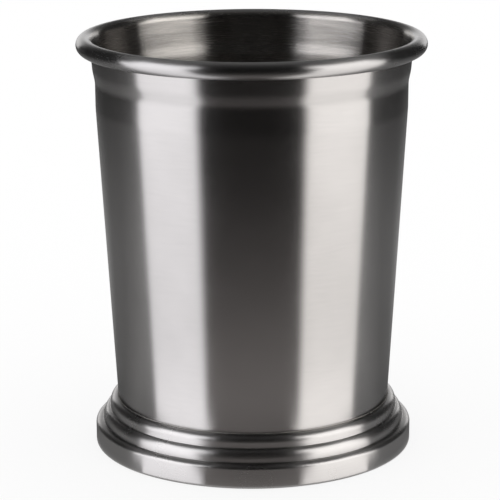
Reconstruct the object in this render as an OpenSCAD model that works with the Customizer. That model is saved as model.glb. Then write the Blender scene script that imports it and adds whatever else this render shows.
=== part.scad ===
/* [Rim] */
// Diameter over the rolled bead
rim_dia = 88; // [80:1:100]
// Height from the table to the top of the bead
cup_height = 105.8; // [95:0.2:125]
// Diameter of the hollow bead rolled at the lip
bead_dia = 4.2; // [3.4:0.1:5]
// Gap between the rolled edge and the wall
curl_gap = 0.2; // [0.1:0.05:0.5]

/* [Wall] */
// Thickness of the sheet that the body is drawn from
body_sheet = 0.7; // [0.5:0.05:0.9]
// Lean of the straight wall away from upright, in degrees
taper_angle = 3.37; // [2:0.01:4.5]
// Height of the wall between the flared ring and the middle of the bead
lip_rise = 6.5; // [5:0.1:8]
// How far the wall spreads over the lip rise, on the radius
lip_spread = 0.57; // [0.4:0.01:0.8]
// Height of the flared ring
flare_rise = 2.8; // [2:0.1:5]
// How far the wall spreads over the flared ring, on the radius
flare_spread = 0.59; // [0.4:0.01:0.8]
// Height of the nearly upright neck under the flared ring
neck_rise = 6.7; // [5:0.1:9]
// How far the wall spreads over the neck, on the radius
neck_spread = 0.04; // [0:0.01:0.2]
// Outside radius of the corner between the floor and the wall
corner_radius = 6; // [4:0.5:7.5]

/* [Foot] */
// Height of the foot ring, from the table to the top of its collar
foot_height = 12.3; // [11:0.1:15]
// Thickness of the sheet that the foot ring is pressed from
foot_sheet = 0.7; // [0.5:0.05:0.9]
// Width of the flat land round the collar, where the braze sits
land_width = 0.35; // [0.3:0.05:0.6]
// Width of the upper step's round
upper_width = 1.65; // [1.2:0.05:2]
// Height of the upper step's round
upper_height = 1.9; // [1.4:0.05:2.4]
// Height of the upright strip under that round
upper_strip = 1.25; // [0.8:0.05:1.6]
// Width of the ledge on top of the lower step
ledge_width = 0.35; // [0.2:0.05:0.6]
// Width of the lower step's round
lower_width = 1.5; // [1.1:0.05:1.8]
// Height of the lower step's round
lower_height = 2.9; // [2.4:0.05:3.2]
// Height of the short upright strip under that round
lower_strip = 0.15; // [0.1:0.05:0.4]
// Width of the ledge on top of the band
brim_width = 0.5; // [0.3:0.05:0.8]
// Width of the band's rounded shoulder
shoulder_width = 1.45; // [1:0.05:1.8]
// Height of the band's rounded shoulder
shoulder_height = 1.2; // [0.8:0.05:1.5]
// Radius of the band's bottom edge
hem_radius = 0.8; // [0.5:0.05:1]
// Width of the edge turned in under the band, on which the cup stands
hem_width = 3.2; // [2.4:0.1:4]

/* [Base plate] */
// Thickness of the base plate
plate_sheet = 0.7; // [0.5:0.05:0.9]
// Gap between the plate's edge and the inside of the band
plate_gap = 0.15; // [0.05:0.05:0.3]
// Width of the plate's flat rim
plate_rim = 3.4; // [3:0.1:4]
// Width of the slope between the rim and the raised panel
plate_slope = 3; // [2:0.1:4]
// Depth of the recess under the cup, from the table to the raised panel
recess_depth = 2.6; // [2:0.1:3.4]

/* [Braze] */
// Gap between the foot ring's collar and the wall
braze_gap = 0.05; // [0.02:0.01:0.1]
// Leg of the upper seam's section
upper_leg = 0.2; // [0.15:0.05:0.3]
// Leg of the lower seam's section
lower_leg = 0.35; // [0.2:0.05:0.45]

/* [Hidden] */

// Smoothness of a full turn, and of each round in an outline
turn_facets = 180;
over_steps = 18;
under_steps = 13;
round_steps = 8;
blend_steps = 4;
// How much of the shortest stretch each blend in the wall takes up, either side
blend_share = 0.3;

// The bead, and the outside of the wall at the height of the bead's middle
bead_r = bead_dia / 2;
bead_z = cup_height - bead_r;
bead_c = rim_dia / 2 - bead_r;
bead = [bead_c, bead_z];
lip_r = bead_c - bead_r + body_sheet;

// Outside of the wall at each change of slope, from the bead down
flare_r = lip_r - lip_spread;
flare_z = bead_z - lip_rise;
ring_r = flare_r - flare_spread;
ring_z = flare_z - flare_rise;
neck_r = ring_r - neck_spread;
neck_z = ring_z - neck_rise;
blend_len = blend_share * min(lip_rise, flare_rise, neck_rise);

// The straight wall, its foot and the floor that rests on the plate
waist_r = wall_at(foot_height);
floor_z = recess_depth + plate_sheet;

// The rolled edge stops where its gap to the leaning wall is curl_gap
lip_slope = lip_spread / lip_rise;
curl_reach = (bead_r - body_sheet - curl_gap) / (bead_r * norm([1, lip_slope]));
curl_end = acos(curl_reach) - atan(lip_slope) - 180;

// The foot ring's steps, from the collar down: where each round starts
collar_r = waist_r + braze_gap;
upper_r = collar_r + land_width;
lower_r = upper_r + upper_width + ledge_width;
lower_z = foot_height - upper_height - upper_strip;
shoulder_r = lower_r + lower_width + brim_width;
shoulder_z = lower_z - lower_height - lower_strip;
band_r = shoulder_r + shoulder_width;
hem_r = band_r - hem_width;

// The base plate, which lies on the turned-in edge
plate_r = band_r - foot_sheet - plate_gap;
slope_r = plate_r - plate_rim;
panel_r = slope_r - plate_slope;
panel_turn = atan((recess_depth - foot_sheet) / plate_slope);
panel_shift = plate_sheet * tan(panel_turn / 2);

// Outside radius of the straight, leaning wall at height z
function wall_at(z) = neck_r - (neck_z - z) * tan(taper_angle);

// Points along an arc, without its first one
function arc(centre, r, from, to, steps) =
    [for (i = [1:steps]) let (a = from + (to - from) * i / steps) centre + r * [cos(a), sin(a)]];

// A quarter round that starts level at [r, z] and ends upright, w wide and h high
function quarter(r, z, w, h) =
    [for (i = [0:round_steps]) let (a = 90 * i / round_steps) [r + w * sin(a), z - h + h * cos(a)]];

// A soft bend at b on the way from a to c
function blend(a, b, c) =
    let (p = b + blend_len * (a - b) / norm(a - b), q = b + blend_len * (c - b) / norm(c - b))
    [for (i = [0:blend_steps]) let (t = i / blend_steps) (1 - t) * (1 - t) * p + 2 * t * (1 - t) * b + t * t * q];

function reversed(points) = [for (i = [len(points) - 1:-1:0]) points[i]];

function moved(points, dr, dz) = [for (p = points) p + [dr, dz]];

// Floor corner of the body, from the floor to the leaning wall
function floor_corner(r, z, inset) =
    let (centre = [wall_at(z + r) - inset - r / cos(taper_angle), z + r])
    concat([centre - [0, r]], arc(centre, r, -90, -taper_angle, round_steps));

// The wall from the taper to just under the bead, on the outside
function wall_line() =
    let (waist = [waist_r, foot_height], neck = [neck_r, neck_z], ring = [ring_r, ring_z])
    let (flare = [flare_r, flare_z], lip = [lip_r, bead_z])
    concat(blend(waist, neck, ring), blend(neck, ring, flare), blend(ring, flare, lip));

// The roll over the top of the bead and round to its edge, at radius r from its middle
function curl(r) = concat(arc(bead, r, 180, 0, over_steps), arc(bead, r, 0, curl_end, under_steps));

// The foot ring's outside, from the collar's land to the shoulder
function foot_line() =
    concat(
        quarter(upper_r, foot_height, upper_width, upper_height),
        [[lower_r - ledge_width, lower_z]],
        quarter(lower_r, lower_z, lower_width, lower_height),
        [[shoulder_r - brim_width, shoulder_z]],
        quarter(shoulder_r, shoulder_z, shoulder_width, shoulder_height)
    );

module turned(points) {
    rotate_extrude($fn = turn_facets)
        polygon(points);
}

// One drawn sheet: floor, wall, flared ring and the lip rolled into a hollow bead
module cup_body() {
    color("silver")
        turned(concat(
            [[0, floor_z]],
            floor_corner(corner_radius, floor_z, 0),
            wall_line(),
            [[lip_r, bead_z]],
            curl(bead_r - body_sheet),
            reversed(curl(bead_r)),
            [[lip_r - body_sheet, bead_z]],
            moved(reversed(wall_line()), -body_sheet, 0),
            reversed(floor_corner(corner_radius - body_sheet, floor_z + body_sheet, body_sheet)),
            [[0, floor_z + body_sheet]]
        ));
}

// The pressed ring: collar, steps, shoulder, band and the edge turned in to stand on
module foot_ring() {
    inside = moved(foot_line(), -foot_sheet, -foot_sheet);
    color("lightgray")
        turned(concat(
            [[collar_r, foot_height]],
            foot_line(),
            [[band_r, hem_radius]],
            arc([band_r - hem_radius, hem_radius], hem_radius, 0, -90, round_steps),
            [[hem_r, 0]],
            [[hem_r, foot_sheet]],
            [[band_r - foot_sheet, foot_sheet]],
            [for (p = reversed(inside)) if (p[0] > collar_r) p],
            [[collar_r, foot_height - foot_sheet]]
        ));
}

// The pressed disc: flat rim on the turned-in edge, slope and raised panel under the floor
module base_plate() {
    color("gainsboro")
        turned([
            [0, recess_depth],
            [panel_r, recess_depth],
            [slope_r, foot_sheet],
            [plate_r, foot_sheet],
            [plate_r, foot_sheet + plate_sheet],
            [slope_r + panel_shift, foot_sheet + plate_sheet],
            [panel_r + panel_shift, floor_z],
            [0, floor_z]
        ]);
}

// Braze round the collar, in the corner between its land and the wall
module upper_seam() {
    toe = [collar_r + upper_leg, foot_height];
    color("darkgray")
        turned(concat(
            [[waist_r, foot_height]],
            [toe],
            arc(toe + [0, upper_leg], upper_leg, -90, -180, round_steps),
            [[wall_at(foot_height + upper_leg), foot_height + upper_leg]]
        ));
}

// Braze under the plate, in the corner at the turned-in edge
module lower_seam() {
    corner = [hem_r, foot_sheet];
    color("darkgray")
        turned(concat(
            [corner],
            [corner - [lower_leg, 0]],
            arc(corner - [lower_leg, lower_leg], lower_leg, 90, 0, round_steps)
        ));
}

cup_body();
foot_ring();
base_plate();
upper_seam();
lower_seam();
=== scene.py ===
# %% [markdown]
# A steel julep cup, dressed in Blender round its CAD frame.
# The real cup is five pieces: a drawn body whose lip is rolled into a bead, a pressed foot ring, a base
# plate, and two thin rings of braze. Each is a turned shape. It could be cut and scaled out of a cylinder,
# but here each is half a section that is spun, because a section holds every size of a turned piece in one
# line. The CAD model says where every piece is and how big it is. The body and the foot ring are drawn
# again here, finer and to the same sizes, and every piece gets its finish.

import math

import bmesh
import bpy
from mathutils import Matrix, Vector


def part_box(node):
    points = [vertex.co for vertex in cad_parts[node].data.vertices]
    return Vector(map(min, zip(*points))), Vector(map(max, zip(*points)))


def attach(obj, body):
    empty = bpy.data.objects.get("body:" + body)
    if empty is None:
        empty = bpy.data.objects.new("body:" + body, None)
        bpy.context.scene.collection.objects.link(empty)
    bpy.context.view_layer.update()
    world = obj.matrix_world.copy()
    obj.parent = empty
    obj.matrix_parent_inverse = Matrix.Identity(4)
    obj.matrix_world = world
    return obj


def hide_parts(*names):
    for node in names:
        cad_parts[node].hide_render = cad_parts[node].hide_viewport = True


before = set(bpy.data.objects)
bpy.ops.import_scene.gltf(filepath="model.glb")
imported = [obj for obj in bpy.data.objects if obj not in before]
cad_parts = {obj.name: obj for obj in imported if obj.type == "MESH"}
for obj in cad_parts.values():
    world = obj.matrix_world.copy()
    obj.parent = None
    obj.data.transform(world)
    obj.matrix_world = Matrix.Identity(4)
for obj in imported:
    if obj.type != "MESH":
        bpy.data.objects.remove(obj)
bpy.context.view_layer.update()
MM = 0.001

# %% [markdown]
# The camera comes first, because everything else is judged through it.
# It stands about 0.6 m in front of the cup and looks down on it a little, through a long lens, so the rim
# and the foot show as flat ellipses. Its place is written as real distances, and its turn as three small
# angles. A rotation matrix is built from the direction it looks in, which avoids guessing Euler angles.

# %% Camera
CAMERA_DISTANCE = 576.3 * MM
CAMERA_HEIGHT = 198.07 * MM
CAMERA_PITCH = math.radians(14.408)
CAMERA_YAW = math.radians(-0.06)
CAMERA_ROLL = math.radians(-0.214)
IMAGE_PIXELS = 500
FOCAL_PIXELS = 2324.9
SENSOR_WIDTH = 36.0
CLIP_NEAR, CLIP_FAR = 0.01, 20


def camera_matrix():
    """Columns are the camera's right, up and backward directions, with its place last."""
    forward = Vector((math.sin(CAMERA_YAW) * math.cos(CAMERA_PITCH),
                      math.cos(CAMERA_YAW) * math.cos(CAMERA_PITCH),
                      -math.sin(CAMERA_PITCH)))
    level = Vector((math.cos(CAMERA_YAW), -math.sin(CAMERA_YAW), 0))
    up = level.cross(forward)
    right = level * math.cos(CAMERA_ROLL) + up * math.sin(CAMERA_ROLL)
    top = up * math.cos(CAMERA_ROLL) - level * math.sin(CAMERA_ROLL)
    turn = Matrix((right, top, -forward)).transposed().to_4x4()
    return Matrix.Translation((0, -CAMERA_DISTANCE, CAMERA_HEIGHT)) @ turn


lens = bpy.data.cameras.new("camera")
lens.sensor_width = SENSOR_WIDTH
lens.lens = FOCAL_PIXELS / IMAGE_PIXELS * SENSOR_WIDTH
lens.clip_start, lens.clip_end = CLIP_NEAR, CLIP_FAR
camera = bpy.data.objects.new("camera", lens)
camera.matrix_world = camera_matrix()
bpy.context.scene.collection.objects.link(camera)
bpy.context.scene.camera = camera
bpy.context.scene.view_settings.view_transform = "Standard"
print("lens in mm", round(lens.lens, 1))

# %% [markdown]
# The body is one drawn sheet. Its section goes out along the floor, round the corner, up the leaning wall,
# through the flared ring, over the top of the bead and round to the rolled edge, then back along the other
# face of the sheet. The outer sizes could be typed in, but they are read from the frame, so that the
# dressed body can't drift from the CAD one. The rest are the sheet's own sizes, in millimetres, from the
# lip down.

# %% Sizes of the body
body_low, body_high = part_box("cup_body")
foot_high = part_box("foot_ring")[1]
RIM_RADIUS = body_high.x / MM
CUP_HEIGHT = body_high.z / MM
FLOOR_UNDER = body_low.z / MM
FOOT_HEIGHT = foot_high.z / MM
SHEET = 0.7
BEAD_RADIUS = 2.1
CURL_GAP = 0.2
LIP_RISE, LIP_SPREAD = 6.5, 0.57
FLARE_RISE, FLARE_SPREAD = 2.8, 0.59
NECK_RISE, NECK_SPREAD = 6.7, 0.04
LEAN = math.radians(3.37)
CORNER_RADIUS = 6.0

bead = (RIM_RADIUS - BEAD_RADIUS, CUP_HEIGHT - BEAD_RADIUS)
lip = (bead[0] - BEAD_RADIUS + SHEET, bead[1])
flare = (lip[0] - LIP_SPREAD, lip[1] - LIP_RISE)
ring = (flare[0] - FLARE_SPREAD, flare[1] - FLARE_RISE)
neck = (ring[0] - NECK_SPREAD, ring[1] - NECK_RISE)


def wall_at(height):
    """Outside radius of the straight, leaning wall."""
    return neck[0] - (neck[1] - height) * math.tan(LEAN)


waist = (wall_at(FOOT_HEIGHT), FOOT_HEIGHT)
print("rim radius", round(RIM_RADIUS, 2), "neck", [round(v, 2) for v in neck], "waist", round(waist[0], 2))

# %% [markdown]
# Sheet that is drawn over a tool turns no sharp corner. Every change of slope in the wall is gentle, so
# each is a short curve pulled towards the corner that it replaces. The bigger rounds are arcs about a
# centre. A Bevel modifier could round the corners too, but it would round all of them alike.

# %% Arcs and soft bends
ARC_STEPS = 12
BEND_STEPS = 8
BEND_SHARE = 0.3
BEND_REACH = BEND_SHARE * min(LIP_RISE, FLARE_RISE, NECK_RISE)


def arc(centre, radius, start, end, steps=ARC_STEPS):
    """Points along an arc, in degrees, without its first one."""
    angles = [math.radians(start + (end - start) * i / steps) for i in range(1, steps + 1)]
    return [(centre[0] + radius * math.cos(a), centre[1] + radius * math.sin(a)) for a in angles]


def soft_bend(before, corner, after):
    """A short curve that replaces a corner of the wall."""
    here = Vector(corner)
    start = here + (Vector(before) - here).normalized() * BEND_REACH
    end = here + (Vector(after) - here).normalized() * BEND_REACH
    shares = [i / BEND_STEPS for i in range(BEND_STEPS + 1)]
    return [tuple((1 - t) ** 2 * start + 2 * t * (1 - t) * here + t * t * end) for t in shares]


wall = soft_bend(waist, neck, ring) + soft_bend(neck, ring, flare) + soft_bend(ring, flare, lip)
print("points in the bends of the wall", len(wall))

# %% [markdown]
# The lip is rolled outwards into a hollow bead, and its rolled edge has to stop just short of the wall.
# Where it stops follows from the sheet, the bead, the gap and the slope of the lip, so the angle is worked
# out and not guessed. The floor's corner is an arc as well, and it ends where the leaning wall touches it.

# %% Outline of the body
OVER_STEPS, UNDER_STEPS = 28, 20


def curl(radius):
    """The roll from the wall over the bead to its edge."""
    slope = LIP_SPREAD / LIP_RISE
    reach = (BEAD_RADIUS - SHEET - CURL_GAP) / (BEAD_RADIUS * math.hypot(1, slope))
    end = math.degrees(math.acos(reach) - math.atan(slope)) - 180
    return arc(bead, radius, 180, 0, OVER_STEPS) + arc(bead, radius, 0, end, UNDER_STEPS)


def floor_corner(radius, floor, inset):
    """The round between the floor and the leaning wall."""
    centre = (wall_at(floor + radius) - inset - radius / math.cos(LEAN), floor + radius)
    return [(centre[0], floor)] + arc(centre, radius, -90, -math.degrees(LEAN))


def moved(points, across, down):
    """The same points, nearer to the axis and lower."""
    return [(r - across, z - down) for r, z in points]


outer_face = ([(0, FLOOR_UNDER)] + floor_corner(CORNER_RADIUS, FLOOR_UNDER, 0)
              + wall + [lip] + curl(BEAD_RADIUS - SHEET))
inner_face = ([(0, FLOOR_UNDER + SHEET)]
              + floor_corner(CORNER_RADIUS - SHEET, FLOOR_UNDER + SHEET, SHEET)
              + moved([*wall, lip], SHEET, 0) + curl(BEAD_RADIUS))
body_section = outer_face + inner_face[::-1]
print("points in the body's section", len(body_section))

# %% [markdown]
# The spin operator turns a row of edges into a surface, as a lathe turns a blank. A full spin closes on
# itself, so use_merge joins the last ring to the first. Points on the axis are spun into many copies of one
# place, and merging doubles turns them into a single pole. Normals are recalculated last, because the spin
# may leave them pointing inwards.

# %% Spinner
TURN_STEPS = 256
MERGE_DISTANCE = 0.001 * MM


def spun(name, section):
    """A piece of revolution from a closed section in millimetres, riding on the cup's one body."""
    mesh = bmesh.new()
    points = [mesh.verts.new((r * MM, 0, z * MM)) for r, z in section]
    pairs = zip(points, points[1:] + points[:1])
    edges = [mesh.edges.new(pair) for pair in pairs if pair[0].co.x + pair[1].co.x > 0]
    bmesh.ops.spin(mesh, geom=points + edges, cent=(0, 0, 0), axis=(0, 0, 1), angle=math.tau,
                   steps=TURN_STEPS, use_merge=True)
    bmesh.ops.remove_doubles(mesh, verts=mesh.verts, dist=MERGE_DISTANCE)
    bmesh.ops.recalc_face_normals(mesh, faces=mesh.faces)
    for face in mesh.faces:
        face.smooth = True
    data = bpy.data.meshes.new(name)
    mesh.to_mesh(data)
    mesh.free()
    piece = bpy.data.objects.new(name, data)
    bpy.context.scene.collection.objects.link(piece)
    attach(piece, "root")
    print(name, "faces", len(data.polygons))
    return piece


print("a full turn takes", TURN_STEPS, "steps of", round(360 / TURN_STEPS, 2), "degrees")

# %% [markdown]
# A finish is a tree of nodes. The steel, the studio and the floor all need such trees, so a few short
# helpers come first. They add nodes and feed their inputs: an input takes a constant, or a link from
# another node.

# %% Node helpers


def add(tree, kind, **settings):
    """A new node with these settings."""
    node = tree.nodes.new(kind)
    for name, setting in settings.items():
        setattr(node, name, setting)
    return node


def feed(socket, value):
    """Sets an input to a constant, or links it to another node's output."""
    if isinstance(value, bpy.types.NodeSocket):
        socket.id_data.links.new(value, socket)
    else:
        socket.default_value = value


def filled(node, *values):
    """A node with its inputs filled in their order."""
    for socket, value in zip(node.inputs, values):
        feed(socket, value)
    return node


def worked(tree, operation, *values):
    """The result of a sum."""
    return filled(add(tree, "ShaderNodeMath", operation=operation), *values).outputs[0]


def vectors(tree, operation, *values):
    """A node that works on directions and places."""
    return filled(add(tree, "ShaderNodeVectorMath", operation=operation), *values)


def ramp(tree, value, span, levels):
    """A value that runs over a span, made to run over other levels and held at their ends."""
    return filled(add(tree, "ShaderNodeMapRange"), value, *span, *levels).outputs[0]


print("node helpers", [helper.__name__ for helper in (add, feed, filled, worked, vectors, ramp)])

# %% [markdown]
# The cup is satin steel, brushed round and round, and each brush line is a tiny groove that runs round the
# cup. The lines could be painted as a picture, but noise needs no picture and has no seam. A point's
# direction from the axis changes slowly as it goes round, while its height and radius change fast, so the
# noise is drawn out into rings. It is 4D noise, because that takes the direction, the height and the radius
# all at once.

# %% Brush lines
NOISE_MIDDLE = (0.3, 0.7)


def ring_noise(tree, round_scale, line_scale, detail):
    """Noise drawn out into rings round the cup's axis, on Object coordinates."""
    axes = filled(add(tree, "ShaderNodeSeparateXYZ"), add(tree, "ShaderNodeTexCoord").outputs["Object"])
    flat = filled(add(tree, "ShaderNodeCombineXYZ"), axes.outputs["X"], axes.outputs["Y"])
    around = vectors(tree, "SCALE", vectors(tree, "NORMALIZE", flat.outputs[0]).outputs[0])
    feed(around.inputs["Scale"], round_scale)
    lift = add(tree, "ShaderNodeCombineXYZ")
    feed(lift.inputs["Z"], worked(tree, "MULTIPLY", axes.outputs["Z"], line_scale))
    radius = vectors(tree, "LENGTH", flat.outputs[0]).outputs["Value"]
    noise = add(tree, "ShaderNodeTexNoise", noise_dimensions="4D")
    feed(noise.inputs["Vector"], vectors(tree, "ADD", around.outputs[0], lift.outputs[0]).outputs[0])
    feed(noise.inputs["W"], worked(tree, "MULTIPLY", radius, line_scale))
    feed(noise.inputs["Scale"], 1)
    feed(noise.inputs["Detail"], detail)
    return noise.outputs["Fac"]


def spread(tree, noise, low, high):
    """A noise value, mostly in its middle span, stretched to run from low to high."""
    return ramp(tree, noise, NOISE_MIDDLE, (low, high))


print("noise is stretched from", NOISE_MIDDLE)

# %% [markdown]
# Every steel here is made of the same few parts: a bare metal shader, a colour between two near tones, and
# bumps. The bumps stay far below a tenth of a millimetre, so they bend the reflections and not the shape.

# %% Parts of a steel


def steel(name):
    """A bare metal: its material, its tree and its shader."""
    material = bpy.data.materials.new(name)
    material.use_nodes = True
    shader = material.node_tree.nodes["Principled BSDF"]
    feed(shader.inputs["Metallic"], 1)
    return material, material.node_tree, shader


def tinted(tree, shader, dull, bright, share):
    """Colours a steel between two tones."""
    tint = add(tree, "ShaderNodeMix", data_type="RGBA")
    feed(tint.inputs["A"], (*dull, 1))
    feed(tint.inputs["B"], (*bright, 1))
    feed(tint.inputs["Factor"], share)
    feed(shader.inputs["Base Color"], tint.outputs["Result"])


def bumped(tree, height, depth, under=None):
    """The normal of a surface that rises by depth, in millimetres, over the normal under it."""
    bump = add(tree, "ShaderNodeBump")
    feed(bump.inputs["Strength"], 1)
    feed(bump.inputs["Distance"], depth * MM)
    feed(bump.inputs["Height"], height)
    if under:
        feed(bump.inputs["Normal"], under)
    return bump.outputs[0]


print("steel helpers", [helper.__name__ for helper in (steel, tinted, bumped)])

# %% [markdown]
# On brushed steel, light spreads across the grooves and hardly at all along them. That is why the studio's
# panels show on the cup as tall straight bands with clean edges. In the shader this is anisotropy: the
# tangent runs round the cup, and a quarter turn of the anisotropic direction makes the highlight long from
# top to bottom. Fine grooves and broad streaks both tint the steel and bend its normal a little. A few
# hairlines are rougher than the rest, which keeps the bands from looking airbrushed.

# %% Brushed steel
QUARTER_TURN = 0.25
GROOVES = (6, 9000, 3)
HAIRLINES = (9, 14000, 1)
HAIRLINE_SPAN = (0.64, 0.72)
HAIRLINE_ROUGHNESS = 0.04
STREAK_DETAIL = 2
ROUGHNESS_SWING = 0.06
GROOVE_TINT, STREAK_TINT = 0.4, 0.6


def brushed_steel(name, colour, roughness, anisotropy, groove_depth, wave_depth,
                  streaks=(3, 60), swing=0.06):
    """Steel brushed round the axis, with depths in millimetres.

    streaks are their scales round the cup and up it, and swing is how far they change the colour.
    """
    material, tree, shader = steel(name)
    feed(shader.inputs["Anisotropic"], anisotropy)
    feed(shader.inputs["Anisotropic Rotation"], QUARTER_TURN)
    place = add(tree, "ShaderNodeTexCoord").outputs["Object"]
    feed(shader.inputs["Tangent"], vectors(tree, "CROSS_PRODUCT", (0, 0, 1), place).outputs[0])

    grooves = ring_noise(tree, *GROOVES)
    broad = ring_noise(tree, *streaks, STREAK_DETAIL)
    mixed = worked(tree, "ADD", spread(tree, grooves, 0, GROOVE_TINT), spread(tree, broad, 0, STREAK_TINT))
    dull = [c * (1 - swing) for c in colour]
    bright = [min(c * (1 + swing), 1) for c in colour]
    tinted(tree, shader, dull, bright, mixed)

    hairlines = ramp(tree, ring_noise(tree, *HAIRLINES), HAIRLINE_SPAN, (0, HAIRLINE_ROUGHNESS))
    rough = spread(tree, broad, roughness * (1 - ROUGHNESS_SWING), roughness * (1 + ROUGHNESS_SWING))
    feed(shader.inputs["Roughness"], worked(tree, "ADD", rough, hairlines))
    feed(shader.inputs["Normal"], bumped(tree, broad, wave_depth, bumped(tree, grooves, groove_depth)))
    return material


print("grooves in a millimetre of height, about", GROOVES[1] * MM)

# %% [markdown]
# One sheet has three finishes. The outside of the wall is brushed evenly. The bead is rubbed along its own
# turn, so its highlight is drawn out further across the grooves. The inside shows finer and stronger turned
# lines and a warmer tone. One material with masks could do all three, but three are easier to change.

# %% Steels of the body
WALL_STEEL = brushed_steel("wall_steel", (0.72, 0.70, 0.69), roughness=0.215, anisotropy=0.78,
                           groove_depth=0.0006, wave_depth=0.003)
INNER_STEEL = brushed_steel("inner_steel", (0.80, 0.765, 0.73), roughness=0.255, anisotropy=1,
                            groove_depth=0.0004, wave_depth=0.001, streaks=(2.6, 700), swing=0.25)
BEAD_STEEL = brushed_steel("bead_steel", (0.68, 0.665, 0.66), roughness=0.278, anisotropy=0.94,
                           groove_depth=0.0006, wave_depth=0.006)
print("steels", [material.name for material in (WALL_STEEL, INNER_STEEL, BEAD_STEEL)])

# %% [markdown]
# The body is spun in one go, because the real one is one sheet. Which steel a face takes could be painted
# by hand, but it follows from where the face is and which way it points: the inside points at the axis or
# up, and the bead lies at its own radius round the bead's middle.

# %% Body
ON_WALL, ON_INSIDE, ON_BEAD = 0, 1, 2
POINTING_UP = 0.8
INSIDE_SHARE = 0.9
BEAD_MARGIN = 0.1


def body_finish(face):
    """Which of its three steels a face of the body takes."""
    away = math.hypot(face.center.x, face.center.y)
    points_in = face.normal.x * face.center.x + face.normal.y * face.center.y < 0
    points_up = face.normal.z > POINTING_UP
    if points_in and not points_up or points_up and away < INSIDE_SHARE * RIM_RADIUS * MM:
        return ON_INSIDE
    off_middle = math.hypot(away / MM - bead[0], face.center.z / MM - bead[1])
    return ON_BEAD if abs(off_middle - BEAD_RADIUS) < BEAD_MARGIN else ON_WALL


cup_body = spun("cup_body_dressed", body_section)
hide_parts("cup_body")
for material in (WALL_STEEL, INNER_STEEL, BEAD_STEEL):
    cup_body.data.materials.append(material)
for face in cup_body.data.polygons:
    face.material_index = body_finish(face)
picked = [face.material_index for face in cup_body.data.polygons]
print("faces on the wall", picked.count(ON_WALL), "inside", picked.count(ON_INSIDE),
      "and bead", picked.count(ON_BEAD))

# %% [markdown]
# The foot is a pressed ring. Reading down from its collar, the same form comes three times: a narrow ledge,
# a quarter round, and an upright strip below it. The upper step has a tall strip, the lower step hardly
# any, and the third strip is the plain band. A round is given as its width and its height. The shoulder's
# width isn't given but follows from the band, whose radius is read from the frame.

# %% Sizes of the foot ring
BAND_RADIUS = foot_high.x / MM
BRAZE_GAP = 0.05
LAND = 0.35
UPPER_ROUND, UPPER_STRIP = (1.65, 1.9), 1.25
LEDGE = 0.35
LOWER_ROUND, LOWER_STRIP = (1.5, 2.9), 0.15
BRIM = 0.5
SHOULDER_HEIGHT = 1.2
HEM_RADIUS = 0.8
HEM_WIDTH = 3.2
FOOT_SHEET = 0.7

collar = waist[0] + BRAZE_GAP
upper_at = (collar + LAND, FOOT_HEIGHT)
lower_corner = (upper_at[0] + UPPER_ROUND[0], upper_at[1] - UPPER_ROUND[1] - UPPER_STRIP)
lower_at = (lower_corner[0] + LEDGE, lower_corner[1])
brim_corner = (lower_at[0] + LOWER_ROUND[0], lower_at[1] - LOWER_ROUND[1] - LOWER_STRIP)
shoulder_at = (brim_corner[0] + BRIM, brim_corner[1])
SHOULDER = (BAND_RADIUS - shoulder_at[0], SHOULDER_HEIGHT)
print("band radius", round(BAND_RADIUS, 2), "shoulder", [round(v, 2) for v in SHOULDER])

# %% [markdown]
# Pressed sheet can't turn a sharp inside corner, so each ledge meets the strip above it in a small hollow,
# which catches a thin line of light. The band's bottom edge is rounded and turned in, as a ring to stand
# on. The back of the sheet is the same line, one thickness in and down, without the hollows.

# %% Outline of the foot ring
HOLLOW = 0.22
HOLLOW_STEPS = 6


def quarter(corner, size):
    """A quarter round from level to upright, starting at corner."""
    angles = [math.pi / 2 * i / ARC_STEPS for i in range(ARC_STEPS + 1)]
    return [(corner[0] + size[0] * math.sin(a), corner[1] - size[1] * (1 - math.cos(a))) for a in angles]


def hollow(corner, radius):
    """The small inside curve where an upright strip turns out into a ledge."""
    return arc((corner[0] + radius, corner[1] + radius), radius, 180, 270, HOLLOW_STEPS)


upper_step = quarter(upper_at, UPPER_ROUND)
lower_step = quarter(lower_at, LOWER_ROUND)
shoulder = quarter(shoulder_at, SHOULDER)
hem_centre = (BAND_RADIUS - HEM_RADIUS, HEM_RADIUS)
show_face = ([(collar, FOOT_HEIGHT)] + upper_step + [(lower_corner[0], lower_corner[1] + HOLLOW)]
             + hollow(lower_corner, HOLLOW) + lower_step + hollow(brim_corner, LOWER_STRIP) + shoulder
             + [(BAND_RADIUS, HEM_RADIUS)] + arc(hem_centre, HEM_RADIUS, 0, -90)
             + [(BAND_RADIUS - HEM_WIDTH, 0)])
steps_line = upper_step + [lower_corner] + lower_step + [brim_corner] + shoulder
back_face = ([(collar, FOOT_HEIGHT - FOOT_SHEET)]
             + [point for point in moved(steps_line, FOOT_SHEET, FOOT_SHEET) if point[0] > collar]
             + [(BAND_RADIUS - FOOT_SHEET, FOOT_SHEET), (BAND_RADIUS - HEM_WIDTH, FOOT_SHEET)])
foot_section = show_face + back_face[::-1]
print("points in the foot ring's section", len(foot_section))

# %% [markdown]
# The edge that the cup stands on is rubbed by tables: small scratches run every way over it, in duller and
# brighter patches. The photograph doesn't show it, so this is what such an edge looks like on a used cup.
# Plain noise does it, once coarse for the patches and once fine and distorted for the scratches.

# %% Scuffed edge
PATCHES = (260, 0)
SCRATCHES = (1800, 3)
SCUFF_DETAIL = 5
SCUFF_SWING = 0.2
SCRATCH_TINT = 0.85
SCRATCH_DEPTH = 0.002


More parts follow.
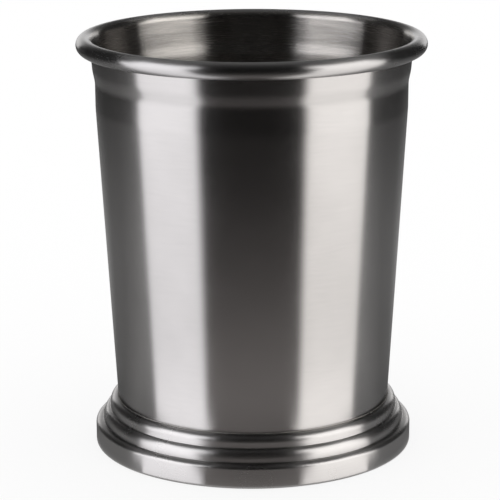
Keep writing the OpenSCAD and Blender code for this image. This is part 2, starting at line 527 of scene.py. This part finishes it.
def scuffed_steel(name, colour, roughness):
    """Steel rubbed by tables."""
    material, tree, shader = steel(name)
    place = add(tree, "ShaderNodeTexCoord").outputs["Object"]
    marks = []
    for scale, distortion in (PATCHES, SCRATCHES):
        noise = add(tree, "ShaderNodeTexNoise")
        feed(noise.inputs["Vector"], place)
        feed(noise.inputs["Scale"], scale)
        feed(noise.inputs["Detail"], SCUFF_DETAIL)
        feed(noise.inputs["Distortion"], distortion)
        marks.append(noise.outputs["Fac"])
    patches, scratches = marks
    rough = spread(tree, patches, roughness * (1 - SCUFF_SWING), roughness * (1 + SCUFF_SWING))
    feed(shader.inputs["Roughness"], rough)
    tinted(tree, shader, [c * SCRATCH_TINT for c in colour], colour, spread(tree, scratches, 0, 1))
    feed(shader.inputs["Normal"], bumped(tree, scratches, SCRATCH_DEPTH))
    return material


HEM_STEEL = scuffed_steel("scuffed_hem", (0.70, 0.69, 0.68), roughness=0.38)
print("scratches", SCRATCH_DEPTH, "mm deep on", HEM_STEEL.name)

# %% [markdown]
# The foot ring is brushed like the wall. Its bands of light are paler and softer, so its steel is a little
# brighter and rougher. Only its flat underside, on the table, takes the scuffed finish.

# %% Foot ring
FOOT_STEEL = brushed_steel("foot_steel", (0.80, 0.78, 0.77), roughness=0.28, anisotropy=0.86,
                           groove_depth=0.0006, wave_depth=0.002)
FACING_TABLE = -0.9
ON_TABLE = 0.1 * MM

foot_ring = spun("foot_ring_dressed", foot_section)
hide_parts("foot_ring")
for material in (FOOT_STEEL, HEM_STEEL):
    foot_ring.data.materials.append(material)
scuffed = [face for face in foot_ring.data.polygons
           if face.normal.z < FACING_TABLE and face.center.z < ON_TABLE]
for face in scuffed:
    face.material_index = 1
print("scuffed faces under the foot", len(scuffed))

# %% [markdown]
# The base plate and the two rings of braze are small and plain, and their CAD shapes are already right, so
# the CAD nodes stay and only take a finish. A plate like this is faced on a lathe, so it has the deepest
# turned lines. Braze is dull and has hardly any grain.

# %% Base plate and braze
PLATE_STEEL = brushed_steel("plate_steel", (0.66, 0.65, 0.64), roughness=0.40, anisotropy=0.8,
                            groove_depth=0.002, wave_depth=0.003, streaks=(2, 500), swing=0.18)
BRAZE = brushed_steel("braze", (0.62, 0.60, 0.57), roughness=0.45, anisotropy=0.2,
                      groove_depth=0.0005, wave_depth=0.004)
for node, material in (("base_plate", PLATE_STEEL), ("upper_seam", BRAZE), ("lower_seam", BRAZE)):
    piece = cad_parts[node]
    piece.data.materials.clear()
    piece.data.materials.append(material)
    print(node, "dressed with", material.name)

# %% [markdown]
# Bare metal has no look of its own: it shows what stands round it. So a studio is built round the cup, from
# bright panels that light the metal and dark cards that keep the rest dark. Area lamps could stand in for
# the panels, but a lamp has one brightness and hard edges, and a card can be graded.
# Each card glows by itself. Its edges fade by an attribute called share, because real panels have soft
# edges. One thing here isn't physical. Inside the cup, steel mirrors steel again and again, and with plain
# cards the inside came out brighter and flatter than in the photograph. So a card gives less light to a ray
# that has already bounced between steel surfaces: each further bounce keeps BOUNCE_SHARE of it. This
# belongs to the studio and not to the steel, so under other light the inside looks brighter.

# %% Glow of a card
BOUNCE_SHARE = 0.34


def blended(tree, share, first, second):
    """A mix of two shaders."""
    return filled(add(tree, "ShaderNodeMixShader"), share, first, second).outputs[0]


def glow(name, colour, strength):
    """A surface that gives off light, faded by its share and dimmer after each further bounce."""
    material = bpy.data.materials.new(name)
    material.use_nodes = True
    tree = material.node_tree
    tree.nodes.clear()
    bounces = add(tree, "ShaderNodeLightPath").outputs["Glossy Depth"]
    further = worked(tree, "MAXIMUM", worked(tree, "SUBTRACT", bounces, 1), 0)
    level = worked(tree, "MULTIPLY", strength, worked(tree, "POWER", BOUNCE_SHARE, further))
    level.node.name = "level"
    light = filled(add(tree, "ShaderNodeEmission"), (*colour, 1), level)
    clear = add(tree, "ShaderNodeBsdfTransparent")
    share = add(tree, "ShaderNodeAttribute", attribute_name="share")
    out = add(tree, "ShaderNodeOutputMaterial")
    feed(out.inputs["Surface"], blended(tree, share.outputs["Fac"], clear.outputs[0], light.outputs[0]))
    material.cycles.emission_sampling = "NONE"
    return material


print("of its light a card keeps", [round(BOUNCE_SHARE ** further, 2) for further in range(4)])

# %% [markdown]
# Most cards aren't one even tone: they are brighter at one height, or further from the cup. The brightness
# is written as stops, each a place and the light there, and it runs straight from one stop to the next. A
# Color Ramp could do this, but sums of Map Range nodes take the places in millimetres.

# %% Slopes of light


def slopes(tree, value, stops, unit):
    """Straight slopes of light from stop to stop."""
    light = stops[0][1]
    for (near, near_light), (far, far_light) in zip(stops, stops[1:]):
        rise = ramp(tree, value, (near * unit, far * unit), (0, far_light - near_light))
        light = worked(tree, "ADD", light, rise)
    return light


PANEL_STOPS = ((0, 1.35), (450, 1.25), (750, 1.35), (1400, 1.6))
print("slopes in the light of a panel", len(PANEL_STOPS) - 1)

# %% [markdown]
# A graded card reads its light from where a point is: how far along one axis, how far from the cup, or how
# far round it. Object coordinates give all three, because every card's object sits at the cup's own origin.

# %% Graded glow


def graded_glow(name, colour, stops, axis=None, turn_stops=None):
    """Light that changes along one axis, or with the distance from the cup, in millimetres.

    With turn_stops it also changes round the cup, in degrees from the camera's side, alike on both sides.
    """
    material = glow(name, colour, 1)
    tree = material.node_tree
    place = add(tree, "ShaderNodeTexCoord").outputs["Object"]
    parts = filled(add(tree, "ShaderNodeSeparateXYZ"), place)
    away = vectors(tree, "LENGTH", place)
    light = slopes(tree, parts.outputs[axis] if axis else away.outputs["Value"], stops, MM)
    if turn_stops:
        aside = worked(tree, "ABSOLUTE", parts.outputs["X"])
        ahead = worked(tree, "MULTIPLY", parts.outputs["Y"], -1)
        turn = worked(tree, "ARCTAN2", aside, ahead)
        light = worked(tree, "MULTIPLY", light, slopes(tree, turn, turn_stops, math.radians(1)))
    feed(tree.nodes["level"].inputs[0], light)
    return material


WHITE = (1, 1, 1)
print("light is written against a white of", WHITE)

# %% [markdown]
# The two panels are nearly white, the left one faintly cool and the right one faintly warm. Their strengths
# run from 1.25 to 1.6, where the background is 1: they dip at half a metre and grow above it. The backdrop
# is bright near the table and fades upwards, because a bright top shows inside the cup. It could be cut off
# sharply instead, but then the ends of the bead go dark as well.

# %% Light of the panels and the backdrop
LEFT_PANEL = graded_glow("left_panel_light", (0.975, 0.975, 1.0), PANEL_STOPS, "Z")
RIGHT_PANEL = graded_glow("right_panel_light", (1.0, 0.985, 0.965), PANEL_STOPS, "Z")
BACKDROP_STOPS = ((0, 0.8), (300, 0.7), (400, 0.55), (500, 0.28), (600, 0.1), (900, 0.05), (1400, 0.05))
BACKDROP = graded_glow("backdrop_white", WHITE, BACKDROP_STOPS, "Z")
print("panels glow at", PANEL_STOPS[0][1], "at the table and", PANEL_STOPS[-1][1], "at the top")

# %% [markdown]
# The studio is seen only by rays that bounce off the cup, so the floor and the background stay plain and
# pale from every side. Each card is switched off for the camera, for diffuse light and for shadows, which
# does it without a second scene. The attribute called share says at each point how much of the card is
# there.

# %% Cards


def staged(name, mesh, material, shares=None):
    """Puts a card in the scene, seen only in reflections."""
    data = bpy.data.meshes.new(name)
    mesh.to_mesh(data)
    mesh.free()
    data.materials.append(material)
    fade = data.attributes.new("share", "FLOAT", "POINT")
    fade.data.foreach_set("value", shares or [1] * len(data.vertices))
    card = bpy.data.objects.new(name, data)
    bpy.context.scene.collection.objects.link(card)
    card.visible_camera = False
    card.visible_diffuse = False
    card.visible_shadow = False


def edge_share(turn, start, end, fade):
    """How much of a card is there at this turn, if it fades out over so many degrees at either end."""
    ways = [(turn - start) / fade[0] if fade[0] else 1, (end - turn) / fade[1] if fade[1] else 1]
    return max(0, min(1, *ways))


print("half way into a fade of 4 degrees, share", edge_share(2, 0, 50, (4, 4)))

# %% [markdown]
# Angles are measured round the cup from the camera's side, and positive ones are to the right. An upright
# card could be a flat plane, but a flat one mirrors unevenly in a round cup. Here it is an edge that is
# spun through part of a turn, so every part of it stands equally far away.

# %% Upright cards
STUDIO_RADIUS = 1.5


def upright_card(name, start, end, low, high, material, fade=(0, 0), away=STUDIO_RADIUS):
    """A curved card that stands round the cup between two angles, in degrees from the camera's side."""
    mesh = bmesh.new()
    first = math.radians(start - 90)
    side = [mesh.verts.new((away * math.cos(first), away * math.sin(first), z)) for z in (low, high)]
    bmesh.ops.spin(mesh, geom=side + [mesh.edges.new(side)], cent=(0, 0, 0), axis=(0, 0, 1),
                   angle=math.radians(end - start), steps=round(end - start))
    turns = [math.degrees(math.atan2(v.co.x, -v.co.y)) for v in mesh.verts]
    shares = [edge_share(turn, start, end, fade) for turn in turns] if any(fade) else None
    staged(name, mesh, material, shares)
    print(name, "from", start, "to", end, "degrees")


# %% [markdown]
# The rounded bead and the steps of the foot mirror the upright cards, from the table up. Each panel is two
# cards, one above the other, with ends of their own, so that the ends of the bright bands can be set low
# and high on a round. The dark card in front gives the dark middle, the dark flags give the dark sides, and
# the backdrop gives the pale ends of the bead and of the steps.

# %% Panels, flags and backdrop
STUDIO_TOP = 1.4
PANEL_SPLIT = 0.5
BACKDROP_HALF = 30
NEARER = STUDIO_RADIUS - 0.01
BLACK_LEVEL, FLAG_LEVEL = 0.006, 0.02
BLACK_CARD = glow("black_card", WHITE, BLACK_LEVEL)
SIDE_FLAG = glow("side_flag", WHITE, FLAG_LEVEL)
upright_card("front_card", -48, 52, 0, STUDIO_TOP, BLACK_CARD)
upright_card("left_flag", BACKDROP_HALF - 180, -80, 0, STUDIO_TOP, SIDE_FLAG)
upright_card("right_flag", 80, 180 - BACKDROP_HALF, 0, STUDIO_TOP, SIDE_FLAG)
upright_card("backdrop", 180 - BACKDROP_HALF, 180 + BACKDROP_HALF, 0, STUDIO_TOP, BACKDROP)
upright_card("left_panel_low", -93, -39.5, 0, PANEL_SPLIT, LEFT_PANEL, (2, 6), NEARER)
upright_card("left_panel_high", -88, -34, PANEL_SPLIT, STUDIO_TOP, LEFT_PANEL, (2, 5), NEARER)
upright_card("right_panel_low", 41, 94.5, 0, PANEL_SPLIT, RIGHT_PANEL, (6, 2), NEARER)
upright_card("right_panel_high", 36, 92, PANEL_SPLIT, STUDIO_TOP, RIGHT_PANEL, (5, 1), NEARER)

# %% [markdown]
# The metal also mirrors the table in front of it, so sheets lie there too. The foot of the wall sees the
# near edge of a sheet and the rim sees its far end, so the wall shows a sheet's run of light from bottom to
# top. A sheet's long edges follow the way a ray leaves the wall: from the point where a band of light ends,
# straight on at twice that angle. The sheet is a grid whose points are moved to their places. Each row of
# points has a reach, which is how far out it lies, and a base, which is the radius that the ray leaves the
# cup at. Close to the foot an edge may be turned by a few degrees, because the steps of the foot mirror
# that part.

# %% Table sheets
SHEET_LIFT = 0.05 * MM
REACHES_AND_BASES = ((0, 39.5), (14, 40.5), (28, 35.6), (50, 35.3), (120, 36.2), (300, 38.9), (1460, 38.9))
NEAR_REACH = 24


def heading(turn):
    """The level direction at this turn from the camera's side."""
    out = math.radians(turn - 90)
    return Vector((math.cos(out), math.sin(out), 0))


def table_sheet(name, start, end, material, fade=(0, 0), near=(0, 0), lift=SHEET_LIFT):
    """A sheet between two angles, from the foot out to the cards.

    near is how many degrees each edge is turned by where the sheet touches the foot.
    """
    mesh = bmesh.new()
    rows = len(REACHES_AND_BASES) - 1
    bmesh.ops.create_grid(mesh, x_segments=round(end - start), y_segments=rows, size=0.5)
    shares = []
    for vert in mesh.verts:
        along = vert.co.x + 0.5
        reach, base = REACHES_AND_BASES[round((vert.co.y + 0.5) * rows)]
        turn = start + (end - start) * along
        close = max(0, 1 - reach / NEAR_REACH)
        way = turn + close * (near[0] * (1 - along) + near[1] * along)
        spot = (heading(way / 2) * base + heading(way) * reach) * MM
        vert.co = spot + Vector((0, 0, lift))
        shares.append(edge_share(turn, start, end, fade))
    print(name, "points", len(mesh.verts))
    staged(name, mesh, material, shares)


# %% [markdown]
# The sheet in front is dark and gives the wall its dark middle. The two at the sides are grey and grow much
# brighter behind the cup, which gives the thin pale line at either edge of the wall. The two under the
# panels are nearly white and give the tall bright bands. They lie a little above the others, so that they
# cover them.

# %% Sheets on the table
DARK_STOPS = ((41, 0.15), (52, 0.11), (60, 0.12), (71, 0.17), (98, 0.15), (124, 0.1), (150, 0.076),
              (177, 0.053), (203, 0.038), (230, 0.024), (258, 0.010), (300, 0.006))
SIDE_STOPS = ((44, 0.15), (62, 0.17), (80, 0.225), (137, 0.235), (177, 0.262), (222, 0.24), (267, 0.205),
              (322, 0.17), (393, 0.125), (460, 0.08), (600, 0.015))
SIDE_TURN = ((88, 0.9), (100, 0.7), (112, 0.55), (132, 0.54), (140, 0.68), (150, 0.92), (158, 1.2),
             (166, 1.8), (174, 3.2), (180, 4))
STRIP_STOPS = ((44, 0.92), (52, 0.96), (62, 1.16), (74, 1.1), (88, 0.95), (110, 0.92), (150, 0.92),
               (190, 0.93), (225, 0.965), (260, 1.0), (320, 1.1))
FRONT_GREY = graded_glow("front_sheet_grey", (1.02, 0.96, 0.94), DARK_STOPS)
LEFT_GREY = graded_glow("left_sheet_grey", WHITE, SIDE_STOPS, None, SIDE_TURN)
RIGHT_GREY = graded_glow("right_sheet_grey", WHITE, SIDE_STOPS, None, SIDE_TURN)
LEFT_WHITE = graded_glow("left_strip_white", (0.98, 0.975, 1), STRIP_STOPS)
RIGHT_WHITE = graded_glow("right_strip_white", (1, 0.98, 0.96), STRIP_STOPS)
table_sheet("front_sheet", -48, 48, FRONT_GREY)
table_sheet("left_sheet", -179.9, -78, LEFT_GREY)
table_sheet("right_sheet", 78, 179.9, RIGHT_GREY)
table_sheet("left_strip_sheet", -91.5, -37, LEFT_WHITE, (1.5, 6), near=(9.5, 6), lift=2 * SHEET_LIFT)
table_sheet("right_strip_sheet", 37, 95, RIGHT_WHITE, (6, 1.5), near=(-8, -9.5), lift=2 * SHEET_LIFT)

# %% [markdown]
# Where the rounded bottom edge turns in to the table, hardly any light gets in, and a thin dark line runs
# round the foot. No shadow falls on sheets that glow, so a narrow grey ring lies there instead.

# %% Contact ring
CONTACT_RADII = (37.0, 41.5)
CONTACT_LEVEL = 0.3
contact = bmesh.new()
across = [contact.verts.new((radius * MM, 0, 3 * SHEET_LIFT)) for radius in CONTACT_RADII]
bmesh.ops.spin(contact, geom=across + [contact.edges.new(across)], cent=(0, 0, 0), axis=(0, 0, 1),
               angle=math.tau, steps=TURN_STEPS, use_merge=True)
staged("contact_sheet", contact, glow("contact_grey", WHITE, CONTACT_LEVEL))
print("contact ring from", *CONTACT_RADII, "mm")

# %% [markdown]
# Overhead hangs a dark sheet, a little paler towards the back. The ledges of the foot and the top of the
# bead mirror it, so nothing bright may hang there.

# %% Sheet overhead
OVERHEAD_STEPS = 64
CEILING_STOPS = ((-1500, 0.005), (-700, 0.02), (-300, 0.035), (0, 0.055), (400, 0.09), (800, 0.13),
                 (1500, 0.2))
overhead = bmesh.new()
bmesh.ops.create_circle(overhead, cap_ends=True, segments=OVERHEAD_STEPS, radius=STUDIO_RADIUS)
bmesh.ops.translate(overhead, verts=overhead.verts, vec=(0, 0, STUDIO_TOP))
staged("ceiling_sheet", overhead, graded_glow("ceiling_grey", WHITE, CEILING_STOPS, "Y"))
print("the sheet overhead hangs at", STUDIO_TOP, "m")

# %% [markdown]
# The floor is a wide white disc of paper. A bright lamp could burn it out to white, but that would light
# the cup as well. So most of its white is given by the paper itself, to rays from the camera, from
# mirroring surfaces and through clear ones, and the rest is lit paper, which keeps the cup's shadow. Its
# underside is clear, so that a view from below shows the foot.

# %% Paper
PLAIN_SHARE = 0.8
PAPER_ROUGHNESS = 0.9


def seen_or_mirrored(tree):
    """1 for a ray from the camera, a mirroring surface or a clear one, and 0 for any other."""
    rays = add(tree, "ShaderNodeLightPath")
    seen = worked(tree, "MAXIMUM", rays.outputs["Is Camera Ray"], rays.outputs["Is Glossy Ray"])
    return worked(tree, "MAXIMUM", seen, rays.outputs["Is Transmission Ray"])


def paper_white(name):
    """White paper, plain where it is seen and lit where it isn't, and clear from below."""
    material = bpy.data.materials.new(name)
    material.use_nodes = True
    tree = material.node_tree
    paper = tree.nodes["Principled BSDF"]
    feed(paper.inputs["Base Color"], (*WHITE, 1))
    feed(paper.inputs["Roughness"], PAPER_ROUGHNESS)
    feed(paper.inputs["Specular IOR Level"], 0)
    plain = filled(add(tree, "ShaderNodeEmission"), (*WHITE, 1), 1)
    share = worked(tree, "MULTIPLY", seen_or_mirrored(tree), PLAIN_SHARE)
    shaded = blended(tree, share, paper.outputs[0], plain.outputs[0])
    below = add(tree, "ShaderNodeNewGeometry").outputs["Backfacing"]
    clear = add(tree, "ShaderNodeBsdfTransparent").outputs[0]
    feed(tree.nodes["Material Output"].inputs["Surface"], blended(tree, below, shaded, clear))
    material.cycles.emission_sampling = "NONE"
    return material


print("plain share of the paper's white", PLAIN_SHARE)

# %% [markdown]
# The disc is far wider than the view, so its edge doesn't show.

# %% Floor
FLOOR_RADIUS = 3.0
FLOOR_STEPS = 96
disc = bmesh.new()
bmesh.ops.create_circle(disc, cap_ends=True, segments=FLOOR_STEPS, radius=FLOOR_RADIUS)
floor_data = bpy.data.meshes.new("floor")
disc.to_mesh(floor_data)
disc.free()
floor_data.materials.append(paper_white("floor_paper"))
floor = bpy.data.objects.new("floor", floor_data)
bpy.context.scene.collection.objects.link(floor)
print("floor radius", FLOOR_RADIUS, "m")

# %% [markdown]
# The world is plain white at a strength of 1. It lights the floor evenly from all round, so a colour
# renders about as it is written. Rays from the camera and off the cup find a background of their own, the
# same white, so the two can be changed apart from each other.

# %% World
world = bpy.data.worlds.new("studio")
bpy.context.scene.world = world
world.use_nodes = True
world.cycles.sampling_method = "NONE"
sky = world.node_tree
lit = filled(sky.nodes["Background"], (*WHITE, 1), 1)
shown = filled(add(sky, "ShaderNodeBackground"), (*WHITE, 1), 1)
both = blended(sky, seen_or_mirrored(sky), lit.outputs[0], shown.outputs[0])
feed(sky.nodes["World Output"].inputs["Surface"], both)
print("world strength", lit.inputs["Strength"].default_value)
